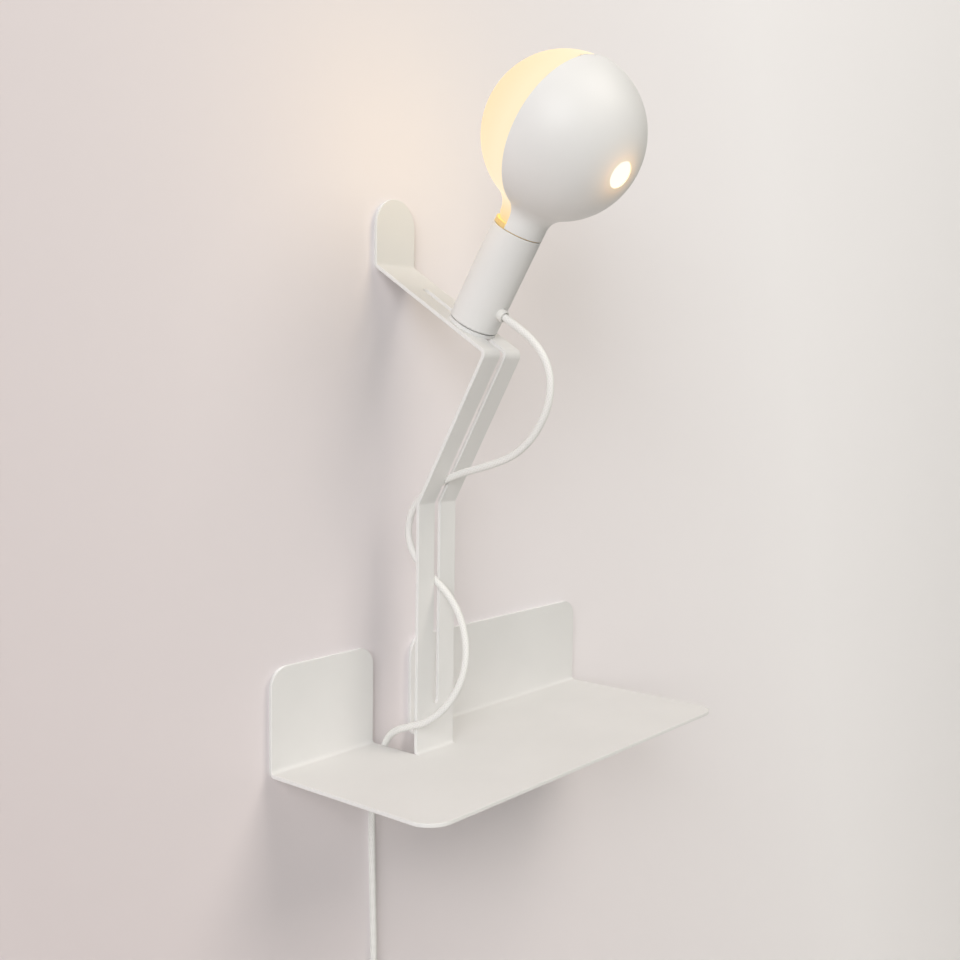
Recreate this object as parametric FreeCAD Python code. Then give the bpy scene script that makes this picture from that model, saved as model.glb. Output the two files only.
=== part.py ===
"""Wall lamp with shelf: one folded steel sheet is shelf and bent stem, and carries a globe lamp in a sleeve.

Millimetres. +X to the right, +Y into the wall, +Z up. The wall is the plane y = 0, and the origin is the
keyhole of the top hanger, where the lamp hangs on its upper wall screw. Heights "above the shelf" count from
the shelf's top face. The lamp head is built upright on its own axis, then leaned onto the folded stem.
"""
import FreeCAD, Part
import math
import os

from FreeCAD import Placement, Rotation, Vector

# ---- the folded sheet ----
sheet = 3.0                  # steel sheet
bend_inner = 3.0             # inside radius of every fold
wall_gap = 3.0               # from the wall to the back of the sheet
shelf_width = 400.0
shelf_depth = 168.0          # from the back of the flanges to the front edge
shelf_corner = 20.0          # plan radius of the two front corners
flange_height = 82.0         # above the shelf
flange_corner = 16.0
stem_offset = 66.7           # stem centre, left of the shelf's centre
strip_width = 45.0           # stem, run and wall tab are one strip
stem_setback = 52.0          # from the back of the flanges to the front of the stem
stem_height = 204.0          # fold where the stem starts to lean out, above the shelf
lean_angle = 29.0            # from the vertical
reach = 119.0                # outer fold, out from the back of the flanges
run_slope = 31.5             # run back up to the wall, from the horizontal
tab_height = 54.0            # wall tab above its fold
bend_relief = 0.5            # notch wider than the strip, each side
edge_break = 0.5             # softened edges of the sheet
slot_break = 0.4             # and of the slot
slot_width = 6.4
slot_margin = 38.0           # slot ends from the shelf and from the tab's fold

# ---- wall hangers ----
hanger_radius = 14.0
hanger_wall = 1.0
keyhole_entry = 4.5          # radius that passes the wall screw's head
keyhole_neck = 2.5           # half width that holds its shank
keyhole_rise = 8.0           # from the entry's centre to the seat
hanger_drop = 4.0            # keyhole entry below the centre of the tab's round end
flange_hanger_inset = 40.0   # lower hangers, in from each end of the shelf
flange_hanger_height = 45.0  # their entries, above the shelf

# ---- lamp head, measured up its own axis from the run's top face ----
head_place = 39.0            # head axis from the outer fold, along the run
spacer_height = 3.8
spacer_radius = 19.4         # its foot
spacer_foot = 2.6            # height of that foot
spacer_neck = 17.4           # narrower top, which leaves a dark line under the sleeve
sleeve_radius = 20.0
sleeve_length = 79.5
sleeve_wall = 1.4
sleeve_floor = 3.0
rim_break = 0.4              # softened rims of the sleeve
screw_radius = 3.0           # M6 through the slot
screw_head_radius = 5.25
screw_head_height = 3.3
screw_socket = 2.3           # hexagon socket, centre to corner
washer_radius = 9.0
washer_thick = 1.6
screw_clear = 0.2            # round the shank
bracket_thick = 1.5
bracket_width = 12.0
bracket_leg = 12.5           # leg centre from the axis
bracket_lip = 6.0            # lip turned in under the lampholder
nut_flats = 10.0
nut_height = 5.0
holder_bottom = 34.0
holder_length = 39.0
holder_radius = 17.4
holder_neck = 14.6           # lower, narrower part
holder_step = 8.0            # its height
holder_floor = 7.0
shell_inner = 13.5
shell_wall = 0.5
shell_length = 26.0
fit_gap = 0.3                # between curved faces that seat in each other

# ---- bulb: a 120 mm opal globe ----
globe_centre = 160.3
globe_radius = 60.0
globe_wall = 1.0
globe_neck = 18.4            # where the neck flares into the globe
globe_flare = 17.0           # concave radius of that flare
globe_throat = 16.2          # in the mouth of the sleeve
cap_radius = 13.1            # crest of the screw cap
cap_wall = 0.3
cap_length = 22.0
cap_pitch = 3.62
cap_overlap = 1.4            # glass inside the cap's rim
insulator_height = 4.5
tip_radius = 4.8
tip_height = 1.6
bulb_length = 176.5

# ---- half shade ----
shade_radius = 61.5          # outside
shade_wall = 0.8
shade_flare = 15.0           # concave radius between neck and ball
shade_setback = 2.5          # its edge stops short of the bulb's middle plane
shade_hole = 10.4            # round hole opposite the wall
hole_drop = 1.6              # its centre, below the ball's
neck_gap = 0.8               # open line between shade and sleeve
collar_band = 3.6            # brass band that shows above the sleeve
collar_wall = 1.0
collar_depth = 4.6           # spigot down in the sleeve's mouth

# ---- cord and its entry ----
cord_radius = 2.9
gland_height = 22.3          # above the run
gland_radius = 4.9
gland_reach = 4.5            # out of the sleeve
gland_thread = 3.9
gland_recess = 1.0           # dark ring round the cord
gland_mouth = 3.6
gland_nut_flats = 11.0
gland_nut_thick = 3.0
clamped_reach = 13.0         # end of the jacket inside, from the axis
wire_radius = 1.1
wire_spread = 1.35
terminal_radius = 2.4
terminal_height = 4.0
terminal_x = 6.0
terminal_y = -8.7

# ---- coil of the cord's unseen length ----
coil_turn = 41.6             # radius of the outer turn
coil_pitch = 6.4             # from turn to turn and from layer to layer
coil_layers_turns = 3        # turns in each of the two layers
tie_wall = 0.8
tie_width = 8.0

# ---- plug ----
relief_length = 20.0
relief_end = 3.7
plug_length = 36.0
plug_width = 35.0
plug_thick = 13.6
plug_neck = 11.0
pin_radius = 2.0
pin_length = 19.0
pin_spacing = 18.6
pin_sleeve = 10.0            # insulated part of each pin

# ---- what follows from those ----
half_strip = strip_width / 2


def fold_points():
    """Corners of the strip's outer face in (y, height above the shelf), from the shelf to the tab's top."""
    back = -wall_gap
    stem = back - stem_setback
    outer = back - reach
    lean_top = stem_height + (stem - outer) / math.tan(math.radians(lean_angle))
    face = back - sheet
    tab_fold = lean_top + (face - outer) * math.tan(math.radians(run_slope))
    return [(back - shelf_depth, 0.0), (stem, 0.0), (stem, stem_height), (outer, lean_top),
            (face, tab_fold), (face, tab_fold + tab_height)]


folds = fold_points()
tab_centre = folds[-1][1] - half_strip
shelf_top = -(tab_centre - hanger_drop)


def at(x, y, height):
    """A point of the lamp, its height given above the shelf."""
    return Vector(x, y, shelf_top + height)


def unit(a, b):
    length = math.hypot(b[0] - a[0], b[1] - a[1])
    return (b[0] - a[0]) / length, (b[1] - a[1]) / length


def offset_corners(points, distance):
    """The same corners moved to the right of the way along them, by distance."""
    moved = []
    for index, point in enumerate(points):
        ways = []
        if index > 0:
            ways.append(unit(points[index - 1], point))
        if index < len(points) - 1:
            ways.append(unit(point, points[index + 1]))
        normals = [(way[1], -way[0]) for way in ways]
        ny = sum(normal[0] for normal in normals) / len(normals)
        nz = sum(normal[1] for normal in normals) / len(normals)
        scale = distance / (ny * ny + nz * nz)
        moved.append((point[0] + ny * scale, point[1] + nz * scale))
    return moved


def turn_left(before, corner, after):
    a = unit(before, corner)
    b = unit(corner, after)
    return a[0] * b[1] - a[1] * b[0] > 0


def rounded_run(points, radii, x):
    """Lines joined by tangent arcs, in the plane of one x. radii has one value for each inner corner."""
    edges = []
    start = at(x, *points[0])
    for index in range(1, len(points) - 1):
        into = unit(points[index - 1], points[index])
        out = unit(points[index], points[index + 1])
        turn = math.acos(into[0] * out[0] + into[1] * out[1])
        radius = radii[index - 1]
        cut = radius * math.tan(turn / 2)
        y, z = points[index]
        first = at(x, y - into[0] * cut, z - into[1] * cut)
        last = at(x, y + out[0] * cut, z + out[1] * cut)
        way = Vector(0, out[0] - into[0], out[1] - into[1]).normalize()
        middle = at(x, y, z) + way * (radius / math.cos(turn / 2) - radius)
        edges.append(Part.LineSegment(start, first).toShape())
        edges.append(Part.Arc(first, middle, last).toShape())
        start = last
    edges.append(Part.LineSegment(start, at(x, *points[-1])).toShape())
    return edges


def folded_band(points, left, width):
    """A folded sheet: the outer face follows points, and the sheet lies to the right of them."""
    outer_radii = []
    inner_radii = []
    for index in range(1, len(points) - 1):
        inside = turn_left(points[index - 1], points[index], points[index + 1])
        outer_radii.append(bend_inner if inside else bend_inner + sheet)
        inner_radii.append(bend_inner + sheet if inside else bend_inner)
    back_points = offset_corners(points, sheet)
    outer = rounded_run(points, outer_radii, left)
    inner = rounded_run(back_points, inner_radii, left)
    ends = [Part.LineSegment(at(left, *points[0]), at(left, *back_points[0])).toShape(),
            Part.LineSegment(at(left, *points[-1]), at(left, *back_points[-1])).toShape()]
    wire = Part.Wire(Part.__sortEdges__(outer + inner + ends))
    return Part.Face(wire).extrude(Vector(width, 0, 0))


def box(x0, x1, y0, y1, z0, z1):
    """A box by its limits, with heights above the shelf."""
    corner = at(min(x0, x1), min(y0, y1), min(z0, z1))
    return Part.makeBox(abs(x1 - x0), abs(y1 - y0), abs(z1 - z0), corner)


def corner_cutter(corner, inward_a, inward_b, radius, along):
    """What a rounded corner takes off: a square less a quarter round, as long as along."""
    length = along.Length
    square = Part.Face(Part.makePolygon([corner, corner + inward_a * radius,
                                         corner + inward_a * radius + inward_b * radius,
                                         corner + inward_b * radius, corner]))
    centre = corner + inward_a * radius + inward_b * radius
    keep = Part.makeCylinder(radius, length, centre, along)
    return square.extrude(along).cut(keep)


def meets_square(shape, edge):
    """Whether the two faces at an edge stand at about a right angle to each other."""
    faces = shape.ancestorsOfType(edge, Part.Face)
    if len(faces) != 2:
        return False
    point = edge.valueAt((edge.FirstParameter + edge.LastParameter) / 2)
    normals = [face.normalAt(*face.Surface.parameter(point)) for face in faces]
    return normals[0].getAngle(normals[1]) > math.radians(80)


def softened(shape, radius, wanted):
    """Rounds the square edges whose middle point is wanted, as deburring and powder coat do."""
    edges = []
    for edge in shape.Edges:
        middle = edge.valueAt((edge.FirstParameter + edge.LastParameter) / 2)
        if wanted(middle) and meets_square(shape, edge):
            edges.append(edge)
    return shape.makeFillet(radius, edges)


def shelf_sheet():
    """Shelf and flanges: one fold along the back, a notch for the stem, rounded corners, soft edges."""
    left = stem_offset_left()
    face = -wall_gap - sheet
    profile = [(-wall_gap - shelf_depth, 0.0), (face, 0.0), (face, flange_height)]
    plate = folded_band(profile, left, shelf_width)
    front = -wall_gap - shelf_depth
    thick = Vector(0, 0, 3 * sheet)
    low = -2 * sheet
    for x, inward in ((left, 1), (left + shelf_width, -1)):
        corner = at(x, front, low)
        plate = plate.cut(corner_cutter(corner, Vector(inward, 0, 0), Vector(0, 1, 0), shelf_corner, thick))
    notch = half_strip + bend_relief
    notch_end = folds[1][0] - bend_inner
    plate = plate.cut(box(-notch, notch, notch_end, 0, -2 * sheet, flange_height + sheet))
    deep = Vector(0, 3 * sheet, 0)
    for x, inward in ((left, 1), (-notch, -1), (notch, 1), (left + shelf_width, -1)):
        corner = at(x, face - sheet, flange_height)
        plate = plate.cut(corner_cutter(corner, Vector(inward, 0, 0), Vector(0, 0, -1), flange_corner, deep))

    def clear_of_notch_end(point):
        return abs(point.x) > notch + edge_break or point.y > notch_end + edge_break

    return softened(plate, edge_break, clear_of_notch_end)


def stem_offset_left():
    """The shelf's left end, from the stem's centre."""
    return stem_offset - shelf_width / 2


def point_on_run(distance):
    """(y, height) on the run's top face, at a distance from the outer fold towards the wall."""
    way = unit(folds[3], folds[4])
    return folds[3][0] + way[0] * distance, folds[3][1] + way[1] * distance


def slot_cutter():
    """The long slot, cut square to the sheet all the way up the stem and over the run."""
    radius = slot_width / 2
    run_length = math.dist(folds[3], folds[4])
    low = (folds[1][0], slot_margin + radius)
    high = point_on_run(run_length - slot_margin - radius)
    middle = [low, folds[2], folds[3], high]
    front = offset_corners(middle, -2 * sheet)
    back = offset_corners(middle, 3 * sheet)
    outline = [at(-radius, *point) for point in front + back[::-1]]
    cutter = Part.Face(Part.makePolygon(outline + outline[:1])).extrude(Vector(slot_width, 0, 0))
    for index, point in ((0, low), (-1, high)):
        start = at(0, *front[index])
        way = at(0, *back[index]) - start
        cutter = cutter.fuse(Part.makeCylinder(radius, way.Length, start, way))
    return cutter


def strip_sheet():
    """Stem, lean, run and wall tab: one strip from inside the shelf's sheet to a half round end."""
    start = folds[1][0] - 2 * shelf_corner
    strip = folded_band([(start, 0.0)] + folds[1:], -half_strip, strip_width)
    top = folds[-1]
    centre = at(0, top[0] - sheet, top[1] - half_strip)
    depth = 3 * sheet
    above = Part.makeBox(2 * strip_width, depth, strip_width, centre - Vector(strip_width, 0, 0))
    round_end = Part.makeCylinder(half_strip, depth, centre, Vector(0, depth, 0))
    strip = strip.cut(above.cut(round_end))
    return softened(strip, edge_break, lambda point: point.y > start + sheet)


def folded_frame():
    """Shelf, flanges, stem, run and wall tab: one sheet, softened along its edges and round its slot."""
    frame = shelf_sheet().fuse(strip_sheet()).removeSplitter()
    frame = frame.cut(slot_cutter())
    side = slot_width / 2 + 0.01
    return softened(frame, slot_break, lambda point: abs(point.x) < side and point.z > shelf_top + sheet)


def keyhole_hanger(x, height):
    """A shallow pressed cup behind the sheet. The wall screw's head enters low and slides up the slot."""
    centre = at(x, 0, height + keyhole_rise / 2)
    inward = Vector(0, -1, 0)
    cup = Part.makeCylinder(hanger_radius, wall_gap, centre, inward)
    pocket_start = centre + inward * hanger_wall
    cup = cup.cut(Part.makeCylinder(hanger_radius - hanger_wall, wall_gap, pocket_start, inward))
    entry = at(x, 0, height)
    cup = cup.cut(Part.makeCylinder(keyhole_entry, hanger_wall, entry, inward))
    seat = at(x, 0, height + keyhole_rise)
    cup = cup.cut(Part.makeCylinder(keyhole_neck, hanger_wall, seat, inward))
    return cup.cut(box(x - keyhole_neck, x + keyhole_neck, -hanger_wall, 0, height, height + keyhole_rise))


# ---- the lamp head, upright about the z axis ----

def head_frame():
    """Leans a piece built upright at the origin onto the run's top face."""
    y, height = point_on_run(head_place)
    return Placement(at(0, y, height), Rotation(Vector(1, 0, 0), run_slope))


def cylinder(radius, low, high, x=0.0, y=0.0):
    return Part.makeCylinder(radius, high - low, Vector(x, y, low))


def ring(outer, inner, low, high, x=0.0, y=0.0):
    return cylinder(outer, low, high, x, y).cut(cylinder(inner, low, high, x, y))


def hexagon(flats, low, high, x=0.0, y=0.0):
    corner = flats / math.sqrt(3)
    angles = [math.radians(60 * k) for k in range(7)]
    points = [Vector(x + corner * math.cos(a), y + corner * math.sin(a), low) for a in angles]
    return Part.Face(Part.makePolygon(points)).extrude(Vector(0, 0, high - low))


def outward(shape, height):
    """Turns a piece built along z so that it points away from the wall, at a height on the head."""
    shape = shape.copy()
    turn = Placement(Vector(0, 0, height), Rotation(Vector(1, 0, 0), 90))
    shape.Placement = turn.multiply(shape.Placement)
    return shape


def line(a, b):
    return Part.LineSegment(Vector(a[0], 0, a[1]), Vector(b[0], 0, b[1])).toShape()


def arc(a, middle, b):
    points = [Vector(p[0], 0, p[1]) for p in (a, middle, b)]
    return Part.Arc(*points).toShape()


def turned(edges):
    """A solid of revolution about the z axis from edges in (radius, height)."""
    wire = Part.Wire(Part.__sortEdges__(edges))
    return Part.Face(wire).revolve(Vector(0, 0, 0), Vector(0, 0, 1), 360)


def ball_and_neck(ball, neck, flare):
    """Where a concave flare touches a neck and a ball above it: the two points and the flare's middle."""
    centre_r = neck + flare
    drop = math.sqrt((ball + flare) ** 2 - centre_r ** 2)
    centre_z = globe_centre - drop
    share = ball / (ball + flare)
    on_neck = (neck, centre_z)
    on_ball = (centre_r * share, globe_centre - drop * share)
    start = math.pi
    end = math.atan2(on_ball[1] - centre_z, on_ball[0] - centre_r)
    if end < 0:
        end += 2 * math.pi
    half = (start + end) / 2
    middle = (centre_r + flare * math.cos(half), centre_z + flare * math.sin(half))
    return on_neck, middle, on_ball


def ball_arc(ball, start):
    """The rest of the ball's outline, from the flare to its top."""
    low = math.atan2(start[1] - globe_centre, start[0])
    half = (low + math.pi / 2) / 2
    middle = (ball * math.cos(half), globe_centre + ball * math.sin(half))
    return arc(start, middle, (0, globe_centre + ball))


sleeve_rim = spacer_height + sleeve_length
sleeve_bore = sleeve_radius - sleeve_wall
bulb_tip = globe_centre + globe_radius - bulb_length
cap_bottom = bulb_tip + tip_height + insulator_height
cap_top = cap_bottom + cap_length
bracket_top = holder_bottom
floor_top = spacer_height + sleeve_floor
shade_bottom = sleeve_rim + neck_gap


def base_spacer():
    """Stepped disc between run and sleeve."""
    foot = ring(spacer_radius, screw_radius + screw_clear, 0, spacer_foot)
    neck = ring(spacer_neck, screw_radius + screw_clear, spacer_foot, spacer_height)
    return foot.fuse(neck).removeSplitter()


def mounting_washer():
    return ring(washer_radius, screw_radius + screw_clear, -sheet - washer_thick, -sheet)


def mounting_screw():
    """M6 button head: its crown is below the run and its socket opens downwards."""
    seat = -sheet - washer_thick
    tip = floor_top + bracket_thick + nut_height + 1.5
    shank = cylinder(screw_radius, seat, tip)
    low = seat - screw_head_height
    shoulder = (screw_head_radius * 0.82, low + screw_head_height * 0.28)
    crown = turned([line((0, seat), (screw_head_radius, seat)),
                    arc((screw_head_radius, seat), shoulder, (screw_socket + 0.6, low)),
                    line((screw_socket + 0.6, low), (0, low)), line((0, low), (0, seat))])
    socket = hexagon(screw_socket * math.sqrt(3), low, low + screw_head_height * 0.6)
    return shank.fuse(crown).cut(socket).removeSplitter()


def socket_sleeve():
    """Turned cup: closed floor with the screw's hole, open mouth, a drilled hole for the gland."""
    cup = cylinder(sleeve_radius, spacer_height, sleeve_rim)
    cup = cup.cut(cylinder(sleeve_bore, floor_top, sleeve_rim))
    cup = cup.cut(cylinder(screw_radius + screw_clear, spacer_height, floor_top))
    rims = [edge for edge in cup.Edges if edge.Length > math.pi * (sleeve_radius + sleeve_bore) - 0.01]
    cup = cup.makeFillet(rim_break, rims)
    hole = outward(cylinder(gland_thread + screw_clear, 0, 2 * sleeve_radius), gland_height)
    return cup.cut(hole)


def holder_bracket():
    """Steel strap: foot on the sleeve's floor, two legs, two lips that carry the lampholder."""
    half = bracket_width / 2
    outer = bracket_leg + bracket_thick
    foot = Part.makeBox(2 * outer, bracket_width, bracket_thick, Vector(-outer, -half, floor_top))
    strap = foot
    for side in (-1, 1):
        x0 = min(side * bracket_leg, side * outer)
        rise = bracket_top - floor_top
        leg = Part.makeBox(bracket_thick, bracket_width, rise, Vector(x0, -half, floor_top))
        lip_x = min(side * outer, side * (outer - bracket_lip - bracket_thick))
        lip = Part.makeBox(bracket_lip + bracket_thick, bracket_width, bracket_thick,
                           Vector(lip_x, -half, bracket_top - bracket_thick))
        strap = strap.fuse(leg).fuse(lip)
    strap = strap.removeSplitter()
    for x in (0.0, -lip_hole(), lip_hole()):
        radius = screw_radius + screw_clear if x == 0 else holder_screw_radius() + screw_clear
        strap = strap.cut(cylinder(radius, 0, bracket_top, x))
    return strap


def lip_hole():
    """Holder screws stand in the middle of each lip's free part."""
    return bracket_leg - bracket_lip / 2


def holder_screw_radius():
    return screw_radius / 2


def mounting_nut():
    low = floor_top + bracket_thick
    high = low + nut_height
    return hexagon(nut_flats, low, high).cut(cylinder(screw_radius + 0.05, low, high))


def holder_screws():
    """Two small screws that hold the lampholder down on the bracket's lips."""
    radius = holder_screw_radius()
    screws = []
    for x in (-lip_hole(), lip_hole()):
        seat = bracket_top - bracket_thick
        shank = cylinder(radius, seat, bracket_top + holder_floor * 0.6, x)
        head = cylinder(2 * radius, seat - 1.6, seat, x)
        screws.append(shank.fuse(head).removeSplitter())
    return Part.Compound(screws)


def lampholder_body():
    """Glazed ceramic E27 holder: a stepped cup with a seat for the threaded shell."""
    low = holder_bottom
    step = low + holder_step
    top = low + holder_length
    body = cylinder(holder_neck, low, step).fuse(cylinder(holder_radius, step, top)).removeSplitter()
    floor = low + holder_floor
    body = body.cut(cylinder(shell_inner + shell_wall + 0.1, floor, top))
    for x in (-lip_hole(), lip_hole()):
        body = body.cut(cylinder(holder_screw_radius() + 0.05, low, low + holder_floor * 0.62, x))
    upper = [edge for edge in body.Edges if edge.BoundBox.ZMin > top - 0.01]
    rim = [edge for edge in upper if edge.BoundBox.XMax > holder_radius - 0.1]
    return body.makeFillet(0.8, rim)


def lampholder_shell():
    """Threaded metal shell, seated in the ceramic body on its floor."""
    low = holder_bottom + holder_floor + 1.0
    shell = ring(shell_inner + shell_wall, shell_inner, low, low + shell_length)
    foot = ring(shell_inner + shell_wall, shell_inner - 3.0, low - 1.0, low)
    return shell.fuse(foot).removeSplitter()


def lampholder_contact():
    """Springy brass tongue: a flat foot and a raised tip just under the bulb's own contact."""
    low = holder_bottom + holder_floor
    high = bulb_tip - fit_gap
    foot = Part.makeBox(12.0, 5.0, 0.6, Vector(-6.0, -2.5, low))
    post = Part.makeBox(0.6, 5.0, high - low, Vector(-6.0, -2.5, low))
    tongue = Part.makeBox(9.0, 5.0, 0.6, Vector(-6.0, -2.5, high - 0.6))
    return foot.fuse(post).fuse(tongue).removeSplitter()


def terminals():
    """Two brass screw terminals under the lampholder."""
    low = holder_bottom - terminal_height
    sides = (-terminal_x, terminal_x)
    return Part.Compound([cylinder(terminal_radius, low, holder_bottom, x, terminal_y) for x in sides])


def bulb_globe():
    """Opal glass: throat, neck, flare and ball in one blown shell."""
    rows = []
    for inset in (0.0, globe_wall):
        neck, middle, ball = ball_and_neck(globe_radius - inset, globe_neck - inset, globe_flare + inset)
        throat = globe_throat - inset
        collar_top = sleeve_rim + collar_band
        base = cap_radius - 0.4 - inset
        rows.append([line((base, cap_top - cap_overlap), (base, cap_top + 0.5)),
                     line((base, cap_top + 0.5), (throat, collar_top - collar_band - 3.0)),
                     line((throat, collar_top - collar_band - 3.0), (throat, collar_top)),
                     line((throat, collar_top), neck), arc(neck, middle, ball),
                     ball_arc(globe_radius - inset, ball)])
    top = [line((0, globe_centre + globe_radius - globe_wall), (0, globe_centre + globe_radius))]
    low = cap_top - cap_overlap
    foot = [line((cap_radius - 0.4, low), (cap_radius - 0.4 - globe_wall, low))]
    return turned(rows[0] + rows[1] + top + foot)


def bulb_cap():
    """E27 screw cap: a thin shell with rounded thread rings, open at the top where the glass enters."""
    turns = int((cap_length - 3.0) // cap_pitch)
    root = cap_radius - 1.0
    crest = cap_radius
    edges = []
    outer = [(root - 3.5, cap_bottom)]
    z = cap_bottom + 1.2
    points = [(root, z)]
    edges.append(line(outer[0], points[0]))
    for turn in range(turns):
        end = z + cap_pitch
        edges.append(arc((root, z), (crest, (z + end) / 2), (root, end)))
        z = end
    edges.append(line((root, z), (crest + 0.2, z + 0.8)))
    edges.append(line((crest + 0.2, z + 0.8), (crest + 0.2, cap_top)))
    inner_top = crest + 0.2 - cap_wall
    edges.append(line((crest + 0.2, cap_top), (inner_top, cap_top)))
    edges.append(line((inner_top, cap_top), (inner_top, z + 1.0)))
    edges.append(line((inner_top, z + 1.0), (root - cap_wall, z)))
    edges.append(line((root - cap_wall, z), (root - cap_wall, cap_bottom + 1.4)))
    edges.append(line((root - cap_wall, cap_bottom + 1.4), (root - 3.5, cap_bottom + 0.4)))
    edges.append(line((root - 3.5, cap_bottom + 0.4), outer[0]))
    return turned(edges)


def cap_insulator():
    """Black glass between the cap and its tip contact."""
    low = bulb_tip + tip_height
    upper = (cap_radius - 4.5, cap_bottom)
    return turned([line((0, low), (tip_radius, low)), line((tip_radius, low), upper),
                   line(upper, (0, cap_bottom)), line((0, cap_bottom), (0, low))])


def tip_contact():
    low = bulb_tip
    high = bulb_tip + tip_height
    flat = tip_radius * 0.4
    return turned([line((0, high), (tip_radius, high)),
                   arc((tip_radius, high), (tip_radius * 0.82, low + tip_height * 0.3), (flat, low)),
                   line((flat, low), (0, low)), line((0, low), (0, high))])


def filament_stem():
    """Glass stem and hub that carry the filaments, flared where it is fused to the throat."""
    low = cap_top - 2.6
    flare = cap_radius - 0.4 - globe_wall - fit_gap
    outline = [(0, low), (flare, low), (flare, low + 1.5), (4.0, low + 9.0), (3.0, globe_centre - 42.0),
               (6.0, globe_centre - 40.0), (6.0, globe_centre - 37.0), (1.6, globe_centre - 35.0),
               (1.2, globe_centre + 32.0), (0, globe_centre + 33.0)]
    return turned([line(a, b) for a, b in zip(outline, outline[1:] + outline[:1])])


def led_filaments():
    """Four straight filaments that lean out from the hub to the top of the stem."""
    rods = []
    for k in range(4):
        angle = math.radians(45 + 90 * k)
        start = Vector(7.2 * math.cos(angle), 7.2 * math.sin(angle), globe_centre - 40.0)
        end = Vector(16.0 * math.cos(angle), 16.0 * math.sin(angle), globe_centre + 2.0)
        rods.append(Part.makeCylinder(0.9, (end - start).Length, start, end - start))
    return Part.Compound(rods)


def half_shade():
    """Spun steel half ball on a half neck, with a round hole in its face."""
    rows = []
    for inset in (0.0, shade_wall):
        neck, middle, ball = ball_and_neck(shade_radius - inset, sleeve_radius - inset, shade_flare + inset)
        rows.append([line((sleeve_radius - inset, shade_bottom), neck), arc(neck, middle, ball),
                     ball_arc(shade_radius - inset, ball)])
    ends = [line((sleeve_radius, shade_bottom), (sleeve_radius - shade_wall, shade_bottom)),
            line((0, globe_centre + shade_radius - shade_wall), (0, globe_centre + shade_radius))]
    shell = turned(rows[0] + rows[1] + ends)
    size = 2 * shade_radius
    wall_side = Part.makeBox(2 * size, size, 2 * size, Vector(-size, -shade_setback, globe_centre - size))
    hole = outward(cylinder(shade_hole, 0, size), globe_centre - hole_drop)
    return shell.cut(wall_side).cut(hole)


def shade_collar():
    """Brass ring: a band for the half neck to sit on, and a spigot that turns in the sleeve's mouth."""
    band_outer = sleeve_radius - shade_wall
    spigot_outer = sleeve_bore - fit_gap
    inner = spigot_outer - collar_wall
    band = ring(band_outer, inner, shade_bottom, shade_bottom + collar_band)
    spigot = ring(spigot_outer, inner, sleeve_rim - collar_depth, shade_bottom)
    return band.fuse(spigot).removeSplitter()


def cord_gland():
    """Turned gland: a rounded collar outside, a threaded shank through the sleeve's wall."""
    wall = sleeve_radius - sleeve_wall
    front = sleeve_radius + gland_reach
    seat = math.sqrt(sleeve_radius ** 2 - gland_radius ** 2) + 0.6
    edge = gland_radius - 1.0
    collar = turned([line((0, seat), (gland_radius, seat)),
                     line((gland_radius, seat), (gland_radius, front - 1.0)),
                     arc((gland_radius, front - 1.0), (gland_radius - 0.3, front - 0.3), (edge, front)),
                     line((edge, front), (0, front)), line((0, front), (0, seat))])
    start = Vector(0, -2 * gland_radius, 0)
    saddle = Part.makeCylinder(sleeve_radius, 4 * gland_radius, start, Vector(0, 1, 0))
    collar = collar.fuse(cylinder(gland_radius, wall, seat)).removeSplitter().cut(saddle)
    shank = cylinder(gland_thread, wall - gland_nut_thick - 2.4, sleeve_radius + 0.5)
    body = collar.fuse(shank).removeSplitter()
    body = body.cut(cylinder(gland_mouth, front - gland_recess, front))
    body = body.cut(cylinder(cord_radius + 0.05, 0, front))
    return outward(body, gland_height)


def gland_nut():
    """Thin nut that pulls the gland against the sleeve, from inside."""
    corner = gland_nut_flats / math.sqrt(3)
    high = math.sqrt(sleeve_bore ** 2 - corner ** 2) - 0.1
    nut = hexagon(gland_nut_flats, high - gland_nut_thick, high)
    return outward(nut.cut(cylinder(gland_thread + 0.05, 0, high)), gland_height)


def clamped_cord():
    """The jacket's last stretch, gripped in the gland."""
    front = sleeve_radius + gland_reach - gland_recess
    return outward(cylinder(cord_radius, clamped_reach, front), gland_height)


def wires():
    """Two insulated wires from the jacket's end up to the terminals."""
    made = {}
    for name, side in (("live_wire", -1), ("neutral_wire", 1)):
        foot = holder_bottom - terminal_height
        points = [Vector(side * wire_spread, -clamped_reach, gland_height),
                  Vector(side * wire_spread, -clamped_reach + 2.2, gland_height),
                  Vector(side * terminal_x * 0.7, terminal_y - 0.2, gland_height + 2.4),
                  Vector(side * terminal_x, terminal_y, foot - 2.4),
                  Vector(side * terminal_x, terminal_y, foot)]
        made[name] = tube(points, wire_radius, name)
    return made


# ---- cords ----

def tube(points, radius, name):
    """A round cord: straight runs joined by tangent arcs, each as large as its two runs allow."""
    edges = []
    start = points[0]
    radii = []
    for index in range(1, len(points) - 1):
        into = points[index] - points[index - 1]
        out = points[index + 1] - points[index]
        shorter = min(into.Length, out.Length)
        into.normalize()
        out.normalize()
        turn = into.getAngle(out)
        cut = 0.45 * shorter
        bend = cut / math.tan(turn / 2)
        radii.append(bend)
        first = points[index] - into * cut
        last = points[index] + out * cut
        way = (out - into).normalize()
        middle = points[index] + way * (bend / math.cos(turn / 2) - bend)
        edges.append(Part.LineSegment(start, first).toShape())
        edges.append(Part.Arc(first, middle, last).toShape())
        start = last
    edges.append(Part.LineSegment(start, points[-1]).toShape())
    solid = swept(Part.Wire(edges), radius)
    length = sum(edge.Length for edge in edges)
    expected = math.pi * radius ** 2 * length
    print(name, "length", round(length, 1), "least bend radius", round(min(radii), 1),
          "volume over section x length", round(solid.Volume / expected, 4))
    return solid


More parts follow.
